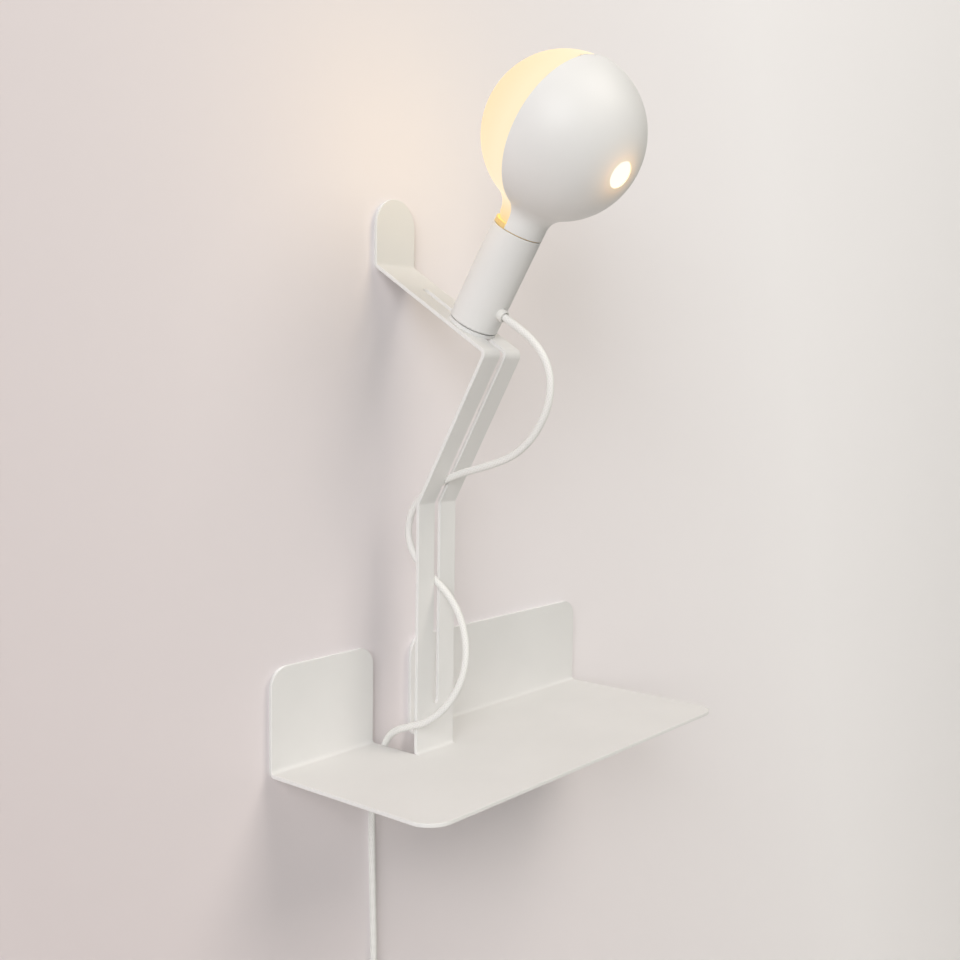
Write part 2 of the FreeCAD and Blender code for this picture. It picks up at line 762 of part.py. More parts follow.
def swept(wire, radius):
    edge = wire.Edges[0]
    start = edge.valueAt(edge.FirstParameter)
    way = edge.tangentAt(edge.FirstParameter)
    circle = Part.Wire([Part.makeCircle(radius, start, way)])
    return wire.makePipeShell([circle], True, False)


def cord_route():
    """From the gland in a loop, back through the slot, out again, round the stem and down the notch."""
    face = sleeve_radius + gland_reach
    exit_point = head_frame().multVec(Vector(0, -(face - gland_recess), gland_height))
    straight = head_frame().multVec(Vector(0, -(face + 11.5), gland_height))
    hand_set = [(0, -145.5, 336.5), (0, -158.5, 323.5), (0, -166, 307), (0, -165.5, 289),
                (0, -158.5, 272.2), (0, -147.5, 257.5), (0, -133.5, 246.5), (0, -116.5, 239.5),
                (0, -98.5, 234.3), (0, -80.5, 229.5), (0, -63, 223), (0, -46.5, 214.5), (0, -32, 203),
                (0, -23.2, 187.3), (0, -23.2, 169.3), (0, -32.5, 154), (0, -47.5, 143.5),
                (0, -63.5, 134), (-2.2, -77.5, 122), (-5.2, -88.5, 107.5), (-9, -95.3, 90.5),
                (-12.8, -96.3, 72.5), (-17.2, -91.3, 55.2), (-21.5, -81, 40), (-25.2, -66.5, 28.5),
                (-26.8, -49.5, 22.8), (-25, -32.5, 16), (-20.4, -18.6, 4), (-18.2, -11, -12.5),
                (-19, -6.9, -30), (-21.2, -5.2, -48), (-22.6, -4.6, -66),
                (coil_left, coil_back, coil_height + 18), (coil_left, coil_back, coil_height)]
    return [exit_point, straight] + [at(*point) for point in hand_set]


coil_left = -17.0
coil_back = -4.4
coil_height = -262.0


def coil_arcs():
    """Half turns: in on the layer by the wall, one climbing half turn, out again on the layer in front."""
    edges = []
    left = coil_left
    radius = coil_turn
    below = True
    y = coil_back
    x = left

    def half_turn(x0, r, down):
        way = 1 if down else -1
        middle_z = coil_height - r if down else coil_height + r
        return Part.Arc(at(x0, y, coil_height), at(x0 + way * r, y, middle_z),
                        at(x0 + way * 2 * r, y, coil_height)).toShape(), x0 + way * 2 * r

    for k in range(2 * coil_layers_turns):
        edge, x = half_turn(x, radius, below)
        edges.append(edge)
        below = not below
        radius -= coil_pitch / 2
    start = at(x, y, coil_height)
    y -= coil_pitch
    end = at(x + 2 * radius, y, coil_height)
    edges += climbing_half_turn(start, end)
    x += 2 * radius
    below = False
    for k in range(2 * coil_layers_turns - 1):
        radius += coil_pitch / 2
        edge, x = half_turn(x, radius, below)
        edges.append(edge)
        below = not below
    return edges, at(x, y, coil_height)


def climbing_half_turn(start, end):
    """Two quarter rounds in tilted planes, tangent to each other and to the turns at both ends."""
    reach_down = Vector(0, 0, -(end - start).Length / 2)
    corners = [start + reach_down, end + reach_down]
    bottom = (corners[0] + corners[1]) / 2
    edges = []
    for a, corner, b in ((start, corners[0], bottom), (bottom, corners[1], end)):
        centre = a + (b - corner)
        arm = ((a - centre) + (b - centre)).normalize() * (a - centre).Length
        edges.append(Part.Arc(a, centre + arm, b).toShape())
    return edges


def cord_coil():
    edges, end = coil_arcs()
    solid = swept(Part.Wire(edges), cord_radius)
    length = sum(edge.Length for edge in edges)
    expected = math.pi * cord_radius ** 2 * length
    print("cord_coil length", round(length, 1), "least gap", round(coil_gap(edges), 2),
          "volume over section x length", round(solid.Volume / expected, 4))
    return solid


def coil_gap(edges):
    """Least gap between stretches of the coil that are over half a turn apart, on points along it."""
    step = 3.0
    points = []
    for edge in edges:
        count = max(2, int(edge.Length / step))
        points += edge.discretize(count)[:-1]
    apart = int(coil_turn * 2 / step)
    least = 1e9
    for i in range(len(points)):
        for j in range(i + apart, len(points)):
            least = min(least, (points[i] - points[j]).Length)
    return least - 2 * cord_radius


def tail_route():
    """From the coil's last turn down to the plug, beside the coil."""
    y = coil_back - coil_pitch
    hand_set = [(0, 0, 0), (0, 0, -8.4), (-2.5, 0, -17.1), (-7.2, 0.1, -24.9), (-13.8, 0.3, -31.1),
                (-18.5, 0.4, -38.9), (-21, 0.4, -47.6), (-21, 0.4, -56)]
    return [at(coil_left + x, y + dy, coil_height + z) for x, dy, z in hand_set]


def cord_tie():
    """Flat tie round the bundle at the bottom of the coil."""
    clear = fit_gap
    inner_turn = coil_turn - coil_layers_turns * coil_pitch
    x = coil_left + coil_turn
    z_low = coil_height - coil_turn - cord_radius - clear
    z_high = coil_height - inner_turn + cord_radius + clear
    y_back = coil_back + cord_radius + clear
    y_front = coil_back - coil_pitch - cord_radius - clear
    outer = box(x - tie_width / 2, x + tie_width / 2, y_front - tie_wall, y_back + tie_wall,
                z_low - tie_wall, z_high + tie_wall)
    inner = box(x - tie_width, x + tie_width, y_front, y_back, z_low, z_high)
    lengthwise = [edge for edge in outer.Edges if abs(edge.BoundBox.XLength - tie_width) < 0.01]
    return outer.makeFillet(2.0, lengthwise).cut(inner.makeFillet(1.2, [
        edge for edge in inner.Edges if abs(edge.BoundBox.XLength - 2 * tie_width) < 0.01]))


# ---- plug ----

def plug_top():
    return tail_route()[-1]


def rounded_section(width, depth, radius, z):
    """A rounded rectangle round the plug's axis, drop z below its top."""
    top = plug_top()
    centre = Vector(top.x, top.y, top.z - z)
    w = width / 2 - radius
    d = depth / 2 - radius
    edges = []
    corners = [(w, d, 0), (-w, d, 90), (-w, -d, 180), (w, -d, 270)]
    points = []
    for x, y, angle in corners:
        middle = centre + Vector(x, y, 0)
        ways = [math.radians(angle + t) for t in (0, 45, 90)]
        points.append([middle + Vector(radius * math.cos(w), radius * math.sin(w), 0) for w in ways])
    for index, (a, b, c) in enumerate(points):
        edges.append(Part.Arc(a, b, c).toShape())
        nxt = points[(index + 1) % 4][0]
        edges.append(Part.LineSegment(c, nxt).toShape())
    return Part.Wire(edges)


def plug_body():
    """Flat two-pin plug: narrow at the cord, wide at the pins, moulded in one with its ribbed relief."""
    relief = [rounded_section(2 * relief_end, 2 * relief_end, relief_end - 0.01, 0),
              rounded_section(plug_neck, plug_neck * 0.86, plug_neck * 0.42, relief_length)]
    top = relief_length
    body = [rounded_section(plug_neck, plug_neck * 0.86, plug_neck * 0.42, top),
            rounded_section(plug_width * 0.62, plug_thick * 0.86, 5.2, top + plug_length * 0.3),
            rounded_section(plug_width, plug_thick, 6.2, top + plug_length * 0.72),
            rounded_section(plug_width, plug_thick, 6.2, top + plug_length)]
    shape = Part.makeLoft(relief, True, True).fuse(Part.makeLoft(body, True, True)).removeSplitter()
    start = plug_top()
    for k in range(4):
        z = 4.0 + 4.0 * k
        groove = Part.makeBox(40, 40, 1.3, Vector(start.x - 20, start.y - 20, start.z - z - 1.3))
        core = Part.makeCylinder(3.3, 2, Vector(start.x, start.y, start.z - z - 1.8))
        shape = shape.cut(groove.cut(core))
    return shape


def plug_pins():
    """Two round pins, insulated for their first part, with domed ends."""
    start = plug_top()
    face = start.z - relief_length - plug_length
    pins = []
    for side in (-1, 1):
        x = start.x + side * pin_spacing / 2
        pin = Part.makeCylinder(pin_radius, pin_length, Vector(x, start.y, face - pin_length))
        tip = [edge for edge in pin.Edges if edge.BoundBox.ZMax < face - pin_length + 0.01]
        pins.append(pin.makeFillet(1.4, tip))
    return Part.Compound(pins)


def lean(shape):
    shape = shape.copy()
    shape.Placement = head_frame().multiply(shape.Placement)
    return shape


def build():
    left_end = stem_offset_left() + flange_hanger_inset
    right_end = stem_offset_left() + shelf_width - flange_hanger_inset
    nodes = {
        "folded_frame": folded_frame(),
        "hanger_top": keyhole_hanger(0, tab_centre - hanger_drop),
        "hanger_left": keyhole_hanger(left_end, flange_hanger_height),
        "hanger_right": keyhole_hanger(right_end, flange_hanger_height),
        "mains_cord": tube(cord_route(), cord_radius, "mains_cord"),
        "cord_coil": cord_coil(),
        "cord_tail": tube(tail_route(), cord_radius, "cord_tail"),
        "cord_tie": cord_tie(),
        "plug_body": plug_body(),
        "plug_pins": plug_pins(),
    }
    head = {
        "base_spacer": base_spacer(),
        "mounting_washer": mounting_washer(),
        "mounting_screw": mounting_screw(),
        "mounting_nut": mounting_nut(),
        "socket_sleeve": socket_sleeve(),
        "holder_bracket": holder_bracket(),
        "holder_screws": holder_screws(),
        "lampholder_body": lampholder_body(),
        "lampholder_shell": lampholder_shell(),
        "lampholder_contact": lampholder_contact(),
        "terminals": terminals(),
        "bulb_globe": bulb_globe(),
        "bulb_cap": bulb_cap(),
        "cap_insulator": cap_insulator(),
        "tip_contact": tip_contact(),
        "filament_stem": filament_stem(),
        "led_filaments": led_filaments(),
        "half_shade": half_shade(),
        "shade_collar": shade_collar(),
        "cord_gland": cord_gland(),
        "gland_nut": gland_nut(),
        "clamped_cord": clamped_cord(),
    }
    head.update(wires())
    for name, shape in head.items():
        nodes[name] = lean(shape)
    return nodes


os.makedirs("parts", exist_ok=True)
for name, shape in build().items():
    shape.exportStep("parts/" + name + ".step")
    print(name, "solids", len(shape.Solids), "valid", shape.isValid(), "volume", round(shape.Volume, 1))
print("shelf top at z", round(shelf_top, 3), "outer fold", [round(v, 2) for v in folds[3]],
      "tab fold", [round(v, 2) for v in folds[4]], "head", head_frame().Base)
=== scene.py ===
# %% [markdown]
# # Wall lamp with shelf
# One sheet of white steel is folded into a shelf, a bent stem and a wall tab. A lampholder sleeve stands on the
# stem and holds a big opal globe, and a half shade covers its room side. A white textile cord winds through the
# stem's slot. The rigid pieces come from the CAD frame with their real sizes, so this script gives them their
# finishes, makes the cord and the lamp's light, and sets up the wall, the lights and the camera.

# %% Load the CAD frame
import math

import bmesh
import bpy
from mathutils import Matrix, Vector


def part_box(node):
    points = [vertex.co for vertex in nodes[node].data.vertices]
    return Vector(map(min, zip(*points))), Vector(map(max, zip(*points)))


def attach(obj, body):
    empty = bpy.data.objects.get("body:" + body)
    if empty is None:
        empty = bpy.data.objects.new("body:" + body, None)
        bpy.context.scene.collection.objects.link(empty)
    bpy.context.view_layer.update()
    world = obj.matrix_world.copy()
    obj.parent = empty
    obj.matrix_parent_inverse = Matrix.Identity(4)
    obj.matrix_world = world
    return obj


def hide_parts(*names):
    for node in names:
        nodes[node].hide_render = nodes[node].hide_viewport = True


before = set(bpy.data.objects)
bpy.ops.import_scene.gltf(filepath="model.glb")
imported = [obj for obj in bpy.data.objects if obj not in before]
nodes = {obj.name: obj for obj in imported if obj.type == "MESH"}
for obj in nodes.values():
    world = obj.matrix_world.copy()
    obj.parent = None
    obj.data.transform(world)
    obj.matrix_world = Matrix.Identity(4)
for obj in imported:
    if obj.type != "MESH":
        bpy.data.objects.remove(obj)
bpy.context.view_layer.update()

# %% [markdown]
# ## The camera
# The camera comes first, because everything is judged through it. It stands to the left of the lamp and a little
# above its middle, and it is rolled by under a degree, as a camera held by hand is. The focal length is given for
# a sensor 36 mm wide.

# %% Camera at the photo's angle
YAW, PITCH, ROLL = 50.618, 4.819, 0.815
CAMERA_PLACE = (-0.72107, -0.69097, -0.11974)
SENSOR_WIDTH = 36.0
FOCAL_LENGTH = 44.626
NEAREST_SEEN = 0.01


def new_camera():
    data = bpy.data.cameras.new("photo_camera")
    data.sensor_width = SENSOR_WIDTH
    data.lens = FOCAL_LENGTH
    data.clip_start = NEAREST_SEEN
    camera = bpy.data.objects.new("photo_camera", data)
    turn = Matrix.Rotation(math.radians(-YAW), 4, "Z") @ Matrix.Rotation(math.radians(90 - PITCH), 4, "X")
    turn = turn @ Matrix.Rotation(math.radians(ROLL), 4, "Z")
    camera.matrix_world = Matrix.Translation(CAMERA_PLACE) @ turn
    bpy.context.scene.collection.objects.link(camera)
    bpy.context.scene.camera = camera
    return camera


camera = new_camera()
print("camera at", [round(v, 3) for v in camera.matrix_world.translation])

# %% [markdown]
# ## Colours and nodes
# Colours are written as the hex values that a paint chart or a screen shows, and Blender's shaders want linear
# light, so one function turns them. Another adds a node with its settings and its links in one line, so that each
# material below reads as a short list of what the surface is. It names a socket by its name, or by its place from
# 0 where several sockets share a name, as all those of a Math node do.

# %% Helpers for colours and nodes
MIX_A, MIX_B = 2, 3                  # a Mix node's number sockets
MIX_COLOUR_A, MIX_COLOUR_B = 6, 7    # and its colour sockets


def linear(code):
    """The sRGB curve, undone."""
    parts = [int(code[i:i + 2], 16) / 255 for i in (0, 2, 4)]
    return [p / 12.92 if p <= 0.04045 else ((p + 0.055) / 1.055) ** 2.4 for p in parts] + [1.0]


def add_node(tree, kind, values=None, links=None, **settings):
    node = tree.nodes.new(kind)
    for name, value in settings.items():
        setattr(node, name, value)
    for socket, value in (values or {}).items():
        node.inputs[socket].default_value = value
    for socket, source in (links or {}).items():
        tree.links.new(source, node.inputs[socket])
    return node


def new_material(name, **values):
    """A material with one Principled shader. values are its sockets, written with _ for a space."""
    material = bpy.data.materials.new(name)
    material.use_nodes = True
    tree = material.node_tree
    shader = tree.nodes["Principled BSDF"]
    for socket, value in values.items():
        shader.inputs[socket.replace("_", " ")].default_value = value
    return material, tree, shader


def grain(tree, millimetres, detail=2.0, stretch=(1, 1, 1)):
    """Noise on the piece's own coordinates, with grains of a real size. A stretch below 1 draws them out."""
    place = add_node(tree, "ShaderNodeTexCoord")
    turned = add_node(tree, "ShaderNodeMapping", {"Scale": stretch}, {"Vector": place.outputs["Object"]})
    return add_node(tree, "ShaderNodeTexNoise", {"Scale": 1000 / millimetres, "Detail": detail},
                    {"Vector": turned.outputs[0]})


def dress(tree, shader, tint, dark, light, relief, millimetres, low=0.3, high=0.7):
    """Colours the surface from dark to light as the pattern tint goes from low to high, and raises it by a real
    height where the pattern relief is high."""
    ramp = add_node(tree, "ShaderNodeValToRGB", None, {"Fac": tint.outputs[0]})
    ramp.color_ramp.elements[0].position = low
    ramp.color_ramp.elements[1].position = high
    ramp.color_ramp.elements[0].color = linear(dark)
    ramp.color_ramp.elements[1].color = linear(light)
    bump = add_node(tree, "ShaderNodeBump", {"Strength": 1.0, "Distance": millimetres / 1000},
                    {"Height": relief.outputs[0]})
    tree.links.new(ramp.outputs[0], shader.inputs["Base Color"])
    tree.links.new(bump.outputs[0], shader.inputs["Normal"])


print("helpers ready; mid grey 808080 is", round(linear("808080")[0], 3), "in linear light")

# %% [markdown]
# ## White powder coat
# The sheet, sleeve and half shade are steel with a matt powder coat. Powder melts into a skin of plastic, so the
# coat is a dielectric with a soft, wide highlight. Its orange peel has waves about 1.5 mm long and a few
# micrometres high, and a finer grit of unmelted grains lies on top. Both are too small to see at arm's length,
# but they break up the highlight.

# %% Powder coat
PEEL_SIZE, GRIT_SIZE, CLOUD_SIZE = 1.5, 0.35, 60.0    # millimetres
GRIT_SHARE = 0.35                                     # its height beside that of the peel
PEEL_HEIGHT = 0.012


def powder_coat(name):
    material, tree, shader = new_material(name, Roughness=0.48, IOR=1.5)
    peel = grain(tree, PEEL_SIZE)
    grit = grain(tree, GRIT_SIZE, detail=1.0)
    both = add_node(tree, "ShaderNodeMath", {1: GRIT_SHARE}, {0: grit.outputs[0], 2: peel.outputs[0]},
                    operation="MULTIPLY_ADD")
    dress(tree, shader, grain(tree, CLOUD_SIZE), "E1E0DF", "E4E3E2", both, PEEL_HEIGHT)
    return material


white_coat = powder_coat("matt_white_powder_coat")
print("finish:", white_coat.name)

# %% [markdown]
# ## The opal globe
# The lamp is a globe of opal glass, lit from within by warm filaments. Opal glass scatters so much light that the
# whole globe glows, nearly white on the side that faces the room and yellower towards the wall and the neck. A
# real lamp is many times brighter than paper, and a camera squeezes that into its white. So the glow has two
# strengths: what the eye meets stays just under white, and what lights the shade and the wall is the real one.

# %% Glowing opal glass
HEAD_TILT = math.radians(31.5)
HEAD_BASE = Vector((0, -0.088747, -0.078207))
HEAD_AXIS = Vector((0, -math.sin(HEAD_TILT), math.cos(HEAD_TILT)))
ROOM_WAY = Vector((0, -math.cos(HEAD_TILT), -math.sin(HEAD_TILT)))
GLOBE_HEIGHT = 0.1603                # along the head's axis, in metres like all places on the globe
GLOBE_CENTRE = HEAD_BASE + HEAD_AXIS * GLOBE_HEIGHT
NECK_FADE = (-0.082, -0.055)         # along the axis, from the neck's orange to the ball's yellow
WALL_FADE = (-0.058, -0.006)         # towards the room, where the yellow of the wall side gets paler
FRONT_FADE = (0.0, 0.045)            # and where it becomes the white that shines out of the hole
SEEN_STRENGTH, CAST_STRENGTH = 1.0, 1.6


def along_way(tree, way, start, end):
    """0 to 1 along a direction, from start to end, in metres from the globe's centre."""
    place = add_node(tree, "ShaderNodeTexCoord")
    dot = add_node(tree, "ShaderNodeVectorMath", {1: tuple(way)}, {0: place.outputs["Object"]},
                   operation="DOT_PRODUCT")
    zero = GLOBE_CENTRE.dot(way)
    return add_node(tree, "ShaderNodeMapRange", {"From Min": zero + start, "From Max": zero + end},
                    {"Value": dot.outputs["Value"]})


def opal_glass(name):
    material, tree, shader = new_material(name, Base_Color=linear("7A6238"), Roughness=0.45, IOR=1.25)
    wall_side = along_way(tree, ROOM_WAY, *WALL_FADE)
    ball = add_node(tree, "ShaderNodeMix", {MIX_COLOUR_A: linear("E3CA9E"), MIX_COLOUR_B: linear("EBE1C6")},
                    {"Factor": wall_side.outputs[0]}, data_type="RGBA")
    height = along_way(tree, HEAD_AXIS, *NECK_FADE)
    neck = add_node(tree, "ShaderNodeMix", {MIX_COLOUR_A: linear("EAB870")},
                    {"Factor": height.outputs[0], MIX_COLOUR_B: ball.outputs["Result"]}, data_type="RGBA")
    front = along_way(tree, ROOM_WAY, *FRONT_FADE)
    seen = add_node(tree, "ShaderNodeMix", {MIX_COLOUR_B: linear("FFFFF6")},
                    {"Factor": front.outputs[0], MIX_COLOUR_A: neck.outputs["Result"]}, data_type="RGBA")
    ray = add_node(tree, "ShaderNodeLightPath")
    glow = add_node(tree, "ShaderNodeMix", {MIX_COLOUR_A: linear("FFE2A0")},
                    {"Factor": ray.outputs["Is Camera Ray"], MIX_COLOUR_B: seen.outputs["Result"]},
                    data_type="RGBA")
    power = add_node(tree, "ShaderNodeMix", {MIX_A: CAST_STRENGTH, MIX_B: SEEN_STRENGTH},
                     {"Factor": ray.outputs["Is Camera Ray"]})
    tree.links.new(glow.outputs["Result"], shader.inputs["Emission Color"])
    tree.links.new(power.outputs[0], shader.inputs["Emission Strength"])
    return material


opal = opal_glass("opal_glass_lit")
print("finish:", opal.name)

# %% [markdown]
# ## Painted glow round the hole
# The lamp shines straight out of the half shade's hole and grazes the edge of the steel. The warm halo round the
# hole, gone about 25 mm from that edge, is painted light: the half shade's coat is the same powder coat with a
# faint painted glow that depends only on how far a point is from the hole's centre, so it turns with the shade.

# %% Half shade's coat with its painted glow
HOLE_DROP = 0.0016                   # metres below the globe's centre
SHADE_RADIUS = 0.0615
HOLE_CENTRE = GLOBE_CENTRE - HEAD_AXIS * HOLE_DROP + ROOM_WAY * SHADE_RADIUS
HALO_START, HALO_END = 0.010, 0.045  # from the hole's centre
HALO_STRENGTH = 0.36
HALO_FALL = 4.0                      # the higher, the closer the glow keeps to the edge


# Paints a warm glow into the coat round the hole: painted light, strongest at the hole's edge and gone by HALO_END.
def with_painted_glow(material):
    tree = material.node_tree
    shader = tree.nodes["Principled BSDF"]
    place = add_node(tree, "ShaderNodeTexCoord")
    away = add_node(tree, "ShaderNodeVectorMath", {1: tuple(HOLE_CENTRE)}, {0: place.outputs["Object"]},
                    operation="DISTANCE")
    fade = add_node(tree, "ShaderNodeMapRange",
                    {"From Min": HALO_START, "From Max": HALO_END, "To Min": 1.0, "To Max": 0.0},
                    {"Value": away.outputs["Value"]})
    soft = add_node(tree, "ShaderNodeMath", {1: HALO_FALL}, {0: fade.outputs[0]}, operation="POWER")
    power = add_node(tree, "ShaderNodeMath", {1: HALO_STRENGTH}, {0: soft.outputs[0]}, operation="MULTIPLY")
    # The colour of the painted glow, not a colour of the steel.
    shader.inputs["Emission Color"].default_value = linear("FFC268")
    tree.links.new(power.outputs[0], shader.inputs["Emission Strength"])
    return material


shade_coat_with_painted_glow = with_painted_glow(powder_coat("matt_white_powder_coat_with_painted_glow"))
print("finish:", shade_coat_with_painted_glow.name)

# %% [markdown]
# ## Metals, plastics and the rest
# Zinc plating is a grey-blue metal with a fine streaky grain. Nickel is warmer and smoother. The ring between
# shade and sleeve is satin brass, and the lamp's cap is pressed aluminium with a satin skin. The lampholder is
# glazed ceramic, whose gloss is sharp. The plug and gland are moulded plastic, which has a soft gloss and a fine
# spark-eroded grain of about 0.3 mm. The wires' coats and the tie are soft plastic too, and the filaments carry a
# dull yellow phosphor.

# %% Small finishes
STREAKED = (1, 1, 0.15)              # grains drawn out upwards
STREAK_HEIGHT = 0.004
FLOW_SIZE = 8.0                      # flow marks in a moulding


def metal(name, dark, light, rough, size):
    material, tree, shader = new_material(name, Metallic=1.0, Roughness=rough)
    streak = grain(tree, size, stretch=STREAKED)
    dress(tree, shader, streak, dark, light, streak, STREAK_HEIGHT)
    return material


def moulded(name, dark, light, rough, size=0.3, height=0.01):
    material, tree, shader = new_material(name, Roughness=rough, IOR=1.49)
    dress(tree, shader, grain(tree, FLOW_SIZE), dark, light, grain(tree, size), height)
    return material


zinc = metal("zinc_plated_steel", "9A9C9E", "B9BBBD", 0.38, 0.6)
nickel = metal("nickel_plated_brass", "A9A398", "C4BEB2", 0.22, 0.8)
brass = metal("satin_brass", "FFDE94", "FFEBAC", 0.5, 0.5)
cap_metal = metal("satin_aluminium", "A6A6A4", "C8C8C6", 0.35, 0.5)
ceramic = moulded("glazed_ceramic", "E9E5DA", "F0ECE2", 0.12, 4.0, 0.02)
white_plastic = moulded("moulded_white_plastic", "DEDDDA", "E3E2DF", 0.42)
black_glass = moulded("black_cap_glass", "0B0B0D", "141416", 0.1, 3.0)
brown_wire = moulded("brown_wire_insulation", "4C2C1A", "5A3622", 0.4)
blue_wire = moulded("blue_wire_insulation", "1D4E8C", "255C9E", 0.4)
phosphor = moulded("filament_phosphor", "F0C54E", "F7D46A", 0.6)
tie_plastic = moulded("clear_tie_plastic", "D5D7D7", "DEE0E0", 0.35)
print("small finishes:", len(bpy.data.materials))

# %% [markdown]
# ## Pins with insulated roots
# The plug's pins are nickel with a moulded sleeve over their first 10 mm, so that a finger can't touch live metal
# while the plug is half out. One material does both: it reads the height and changes there.

# %% Plug pins
PIN_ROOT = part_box("plug_pins")[1][2]
PIN_SLEEVE = 0.010
BARE_ROUGHNESS, SLEEVE_ROUGHNESS = 0.2, 0.45


def pin_finish():
    material, tree, shader = new_material("plug_pin_nickel_and_sleeve", IOR=1.5)
    place = add_node(tree, "ShaderNodeTexCoord")
    parts = add_node(tree, "ShaderNodeSeparateXYZ", None, {"Vector": place.outputs["Object"]})
    sleeve = add_node(tree, "ShaderNodeMath", {1: PIN_ROOT - PIN_SLEEVE}, {0: parts.outputs["Z"]},
                      operation="GREATER_THAN")
    colour = add_node(tree, "ShaderNodeMix", {MIX_COLOUR_A: linear("BDB7AB"), MIX_COLOUR_B: linear("E2E1DD")},
                      {"Factor": sleeve.outputs[0]}, data_type="RGBA")
    shine = add_node(tree, "ShaderNodeMapRange", {"To Min": BARE_ROUGHNESS, "To Max": SLEEVE_ROUGHNESS},
                     {"Value": sleeve.outputs[0]})
    bare = add_node(tree, "ShaderNodeMath", {0: 1.0}, {1: sleeve.outputs[0]}, operation="SUBTRACT")
    tree.links.new(colour.outputs["Result"], shader.inputs["Base Color"])
    tree.links.new(shine.outputs[0], shader.inputs["Roughness"])
    tree.links.new(bare.outputs[0], shader.inputs["Metallic"])
    return material


pin_nickel = pin_finish()
print("pins turn to plastic above z =", round(PIN_ROOT - PIN_SLEEVE, 4))

# %% [markdown]
# ## Glass of the filament stem
# The stem that carries the filaments is clear soda glass, drawn as a tube. Drawing leaves faint lines along it,
# about 2 mm apart, which bend what is seen through it a little.

# %% Drawn glass
LINE_SPACING, LINE_HEIGHT = 2.0, 0.01
DRAWN_OUT = (1, 1, 0.1)


def drawn_glass():
    material, tree, shader = new_material("clear_stem_glass", Roughness=0.03, IOR=1.52, Transmission_Weight=1.0)
    lines = grain(tree, LINE_SPACING, stretch=DRAWN_OUT)
    dress(tree, shader, lines, "EDF3F2", "F7FAFA", lines, LINE_HEIGHT)
    return material


clear_glass = drawn_glass()
print("finish:", clear_glass.name)

# %% [markdown]
# ## Finishes on the CAD pieces
# A CAD piece keeps its mesh. It only gets its finish, in place of the plain one it came with.

# %% Give each CAD node its finish
finishes = {
    white_coat: ["folded_frame", "base_spacer", "socket_sleeve"],
    shade_coat_with_painted_glow: ["half_shade"],
    zinc: ["hanger_top", "hanger_left", "hanger_right", "mounting_screw", "mounting_washer", "mounting_nut",
           "holder_bracket", "holder_screws"],
    nickel: ["lampholder_shell", "tip_contact", "gland_nut"],
    brass: ["shade_collar", "lampholder_contact", "terminals"],
    ceramic: ["lampholder_body"],
    opal: ["bulb_globe"],
    cap_metal: ["bulb_cap"],
    black_glass: ["cap_insulator"],
    clear_glass: ["filament_stem"],
    phosphor: ["led_filaments"],
    white_plastic: ["cord_gland", "plug_body"],
    pin_nickel: ["plug_pins"],
    tie_plastic: ["cord_tie"],
    brown_wire: ["live_wire"],
    blue_wire: ["neutral_wire"],
}
for finish, names in finishes.items():
    for name in names:
        mesh = nodes[name].data
        mesh.materials.clear()
        mesh.materials.append(finish)
print("CAD pieces finished:", sum(len(names) for names in finishes.values()))

# %% [markdown]
# ## The cord
# The cord is 5.8 mm thick with a woven cover. It is stiff enough to swing out in wide loops: out from the gland,
# back through the slot, out again lower down, round the stem's left edge and down through the notch behind the
# shelf. From there its own weight and the coil pull it straight. A NURBS curve of order 3 suits it, because its
# bends have no corners. The points below are the ones that a hand would hold it by, in millimetres, with their
# height given above the shelf. Only the first two, on the gland's axis, are given in the lamp's own frame.

# %% Route of the cord, in millimetres
SHELF_TOP = -423.456
CORD_EXIT = (0.0, -120.436, -71.472)
STRAIGHT_OUT = (0.0, -131.094, -78.004)
COIL_LEFT, COIL_BACK, COIL_HEIGHT = -17.0, -4.4, -262.0
COIL_ENTRY = 18                      # the last straight piece ends this much above the coil
loops = [(0, -145.5, 336.5), (0, -158.5, 323.5), (0, -166, 307), (0, -165.5, 289), (0, -158.5, 272.2),
         (0, -147.5, 257.5), (0, -133.5, 246.5), (0, -116.5, 239.5), (0, -98.5, 234.3), (0, -80.5, 229.5),
         (0, -63, 223), (0, -46.5, 214.5), (0, -32, 203), (0, -23.2, 187.3), (0, -23.2, 169.3),
         (0, -32.5, 154), (0, -47.5, 143.5), (0, -63.5, 134), (-2.2, -77.5, 122), (-5.2, -88.5, 107.5),
         (-9, -95.3, 90.5), (-12.8, -96.3, 72.5), (-17.2, -91.3, 55.2), (-21.5, -81, 40),
         (-25.2, -66.5, 28.5), (-26.8, -49.5, 22.8), (-25, -32.5, 16), (-20.4, -18.6, 4), (-18.2, -11, -12.5),
         (-19, -6.9, -30), (-21.2, -5.2, -48), (-22.6, -4.6, -66)]
hanging = [(-22.03, -4.58, -84), (-17.57, -4.42, -226), (COIL_LEFT, COIL_BACK, COIL_HEIGHT + COIL_ENTRY)]
tail = [(0, 0, -8.4), (-2.5, 0, -17.1), (-7.2, 0.1, -24.9), (-13.8, 0.3, -31.1), (-18.5, 0.4, -38.9),
        (-21, 0.4, -47.6), (-21, 0.4, -56)]
print("hand-set points:", len(loops) + len(hanging) + len(tail))

# %% [markdown]
# ## The coil
# The length that isn't needed is wound up by the wall, as one does before plugging a lamp in. Each half turn is
# smaller than the last, then the cord climbs to a second layer and winds out again. A curve of order 3 touches
# the middle of each line between its points, so points on a slightly larger circle give the true radius.

# %% Half turns of the coil
COIL_PITCH = 6.4                     # millimetres from turn to turn and from layer to layer
OUTER_TURN = 41.6                    # radius of the first half turn
HALF_TURNS = 7                       # until the innermost one
HALF_TURN_POINTS = 8
STEP = math.radians(22.5)            # a half turn shared among its points


def half_turn(start, end, below):
    middle = (start + end) / 2
    arm = start - middle
    down = Vector((0, 0, -arm.length if below else arm.length))
    angles = [STEP * (k + 0.5) for k in range(HALF_TURN_POINTS)]
    return [middle + (arm * math.cos(a) + down * math.sin(a)) / math.cos(STEP / 2) for a in angles]


